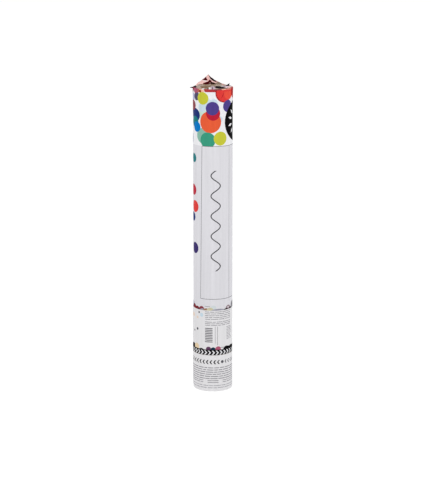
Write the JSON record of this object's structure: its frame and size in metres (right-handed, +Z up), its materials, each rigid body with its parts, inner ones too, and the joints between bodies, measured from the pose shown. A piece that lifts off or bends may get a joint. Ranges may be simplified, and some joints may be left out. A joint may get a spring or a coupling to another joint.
{
  "type": "confetti popper",
  "caption": "Slim twist-fired card tube with film folded over its mouth; an air cartridge in the twisting base blows stacked paper discs out.",
  "frame": {"origin": "centre of the base's underside, on the surface that the popper stands on", "axes": "+Z up the tube towards the mouth, -Y towards the printed front that the picture shows"},
  "size_m": [0.05, 0.05, 0.4079],
  "materials": {
    "kraft_card": "raw spiral-wound card",
    "sleeve_card": "raw grey card",
    "printed_film": "printed glossy film",
    "foil_film": "crumpled metallised film",
    "base_plastic": "moulded satin",
    "white_plastic": "moulded satin",
    "stopper_plastic": "moulded satin",
    "cartridge_aluminium": "drawn, satin",
    "pin_steel": "ground",
    "seal_rubber": "moulded matt",
    "disc_card": "punched board",
    "paper_red": "dyed tissue paper",
    "paper_mint": "dyed tissue paper",
    "paper_blue": "dyed tissue paper",
    "paper_orange": "dyed tissue paper",
    "paper_turquoise": "dyed tissue paper",
    "paper_pink": "dyed tissue paper",
    "paper_pale_green": "dyed tissue paper",
    "paper_hot_pink": "dyed tissue paper"
  },
  "bodies": {
    "barrel": {"barrel_tube": "kraft_card", "barrel_wrap": "printed_film", "coupling_sleeve": "sleeve_card", "cam_collar": "white_plastic"},
    "base": {"grip_tube": "kraft_card", "grip_wrap": "printed_film", "base_plug": "base_plastic", "retaining_ring": "white_plastic", "air_cartridge": "cartridge_aluminium", "fill_valve": "seal_rubber", "neck_gasket": "seal_rubber", "valve_neck": "white_plastic"},
    "stopper": {"stopper": "stopper_plastic", "stopper_o_rings": "seal_rubber", "cross_pin": "pin_steel"},
    "charge": {"pusher_disc": "disc_card", "confetti_red": "paper_red", "confetti_mint": "paper_mint", "confetti_blue": "paper_blue", "confetti_orange": "paper_orange", "confetti_turquoise": "paper_turquoise", "confetti_pink": "paper_pink", "confetti_pale_green": "paper_pale_green", "confetti_hot_pink": "paper_hot_pink", "cover_disc": "disc_card"},
    "flap_1": {"foil_flap_1": "foil_film"},
    "flap_2": {"foil_flap_2": "foil_film"},
    "flap_3": {"foil_flap_3": "foil_film"},
    "flap_4": {"foil_flap_4": "foil_film"},
    "flap_5": {"foil_flap_5": "foil_film"},
    "flap_6": {"foil_flap_6": "foil_film"},
    "flap_7": {"foil_flap_7": "foil_film"},
    "flap_8": {"foil_flap_8": "foil_film"}
  },
  "joints": [
    {"name": "base_twist", "type": "hinge", "parent": "barrel", "child": "base", "pos_m": [0, 0, 0.0488], "axis": [0, 0, -1], "range_deg": [0, 90]},
    {"name": "stopper_lift", "type": "slide", "parent": "base", "child": "stopper", "axis": [0, 0, 1], "range_m": [0, 0.006]},
    {"name": "charge_slide", "type": "slide", "parent": "barrel", "child": "charge", "axis": [0, 0, 1], "range_m": [0, 0.27]},
    {"name": "flap_1_fold", "type": "hinge", "parent": "barrel", "child": "flap_1", "pos_m": [0.02121, 0.00879, 0.3925], "axis": [-0.3827, 0.9239, 0], "range_deg": [0, 125]},
    {"name": "flap_2_fold", "type": "hinge", "parent": "barrel", "child": "flap_2", "pos_m": [0.00879, 0.02121, 0.3925], "axis": [-0.9239, 0.3827, 0], "range_deg": [0, 125]},
    {"name": "flap_3_fold", "type": "hinge", "parent": "barrel", "child": "flap_3", "pos_m": [-0.00879, 0.02121, 0.3925], "axis": [-0.9239, -0.3827, 0], "range_deg": [0, 125]},
    {"name": "flap_4_fold", "type": "hinge", "parent": "barrel", "child": "flap_4", "pos_m": [-0.02121, 0.00879, 0.3925], "axis": [-0.3827, -0.9239, 0], "range_deg": [0, 125]},
    {"name": "flap_5_fold", "type": "hinge", "parent": "barrel", "child": "flap_5", "pos_m": [-0.02121, -0.00879, 0.3925], "axis": [0.3827, -0.9239, 0], "range_deg": [0, 125]},
    {"name": "flap_6_fold", "type": "hinge", "parent": "barrel", "child": "flap_6", "pos_m": [-0.00879, -0.02121, 0.3925], "axis": [0.9239, -0.3827, 0], "range_deg": [0, 125]},
    {"name": "flap_7_fold", "type": "hinge", "parent": "barrel", "child": "flap_7", "pos_m": [0.00879, -0.02121, 0.3925], "axis": [0.9239, 0.3827, 0], "range_deg": [0, 125]},
    {"name": "flap_8_fold", "type": "hinge", "parent": "barrel", "child": "flap_8", "pos_m": [0.02121, -0.00879, 0.3925], "axis": [0.3827, 0.9239, 0], "range_deg": [0, 125]}
  ],
  "couplings": [
    {"joint": "stopper_lift", "follows": "base_twist", "m_per_rad": 0.003819},
    {"joint": "flap_1_fold", "follows": "charge_slide", "rad_per_m": 8.08},
    {"joint": "flap_2_fold", "follows": "charge_slide", "rad_per_m": 8.08},
    {"joint": "flap_3_fold", "follows": "charge_slide", "rad_per_m": 8.08},
    {"joint": "flap_4_fold", "follows": "charge_slide", "rad_per_m": 8.08},
    {"joint": "flap_5_fold", "follows": "charge_slide", "rad_per_m": 8.08},
    {"joint": "flap_6_fold", "follows": "charge_slide", "rad_per_m": 8.08},
    {"joint": "flap_7_fold", "follows": "charge_slide", "rad_per_m": 8.08},
    {"joint": "flap_8_fold", "follows": "charge_slide", "rad_per_m": 8.08}
  ]
}
